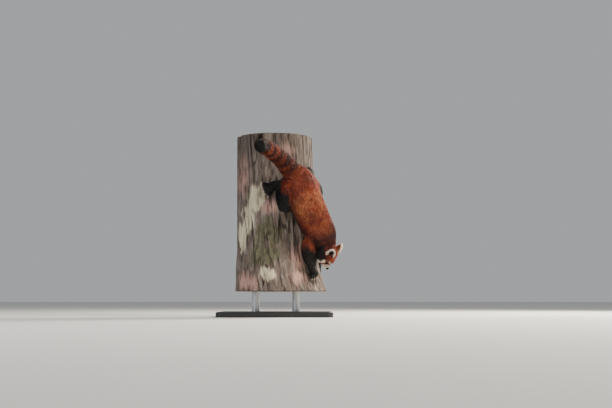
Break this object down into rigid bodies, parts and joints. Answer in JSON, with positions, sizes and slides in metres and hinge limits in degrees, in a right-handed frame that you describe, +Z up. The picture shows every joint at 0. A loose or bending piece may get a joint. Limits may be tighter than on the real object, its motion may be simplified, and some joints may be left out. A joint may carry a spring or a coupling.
{
  "type": "red panda on trunk",
  "caption": "Life-size still model of a red panda climbing head first down a cut length of tree trunk, held by a plain display stand.",
  "frame": {"origin": "middle of the underside of the stand's plate, on the floor", "axes": "+Z up along the trunk; -Y towards the viewer of the picture; the animal climbs down the trunk's -Y and +X side"},
  "size_m": [0.6082, 0.8236, 0.895],
  "materials": {
    "red_coat": "rust red coat",
    "black_coat": "brown-black coat",
    "face_coat": "short rust and cream coat",
    "tail_coat": "ringed coat",
    "ear_coat": "cream-edged coat",
    "eye": "wet, very dark brown",
    "nose": "damp black skin",
    "bark": "rough bark",
    "plate": "matt black",
    "steel": "brushed"
  },
  "bodies": {
    "root": {"torso_rear": "red_coat", "torso_front": "red_coat", "neck": "red_coat", "head": "face_coat", "ear_right": "ear_coat", "ear_left": "ear_coat", "eye_right": "eye", "eye_left": "eye", "nose": "nose", "tail_base": "tail_coat", "tail_middle": "tail_coat", "tail_tip": "tail_coat", "foreleg_right": "black_coat", "foreleg_left": "black_coat", "forefoot_right": "black_coat", "forefoot_left": "black_coat", "hindleg_right": "black_coat", "hindleg_left": "black_coat", "hindfoot_right": "black_coat", "hindfoot_left": "black_coat", "perch_trunk": "bark", "stand_base": "plate", "stand_rod_left": "steel", "stand_rod_right": "steel"}
  },
  "joints": []
}
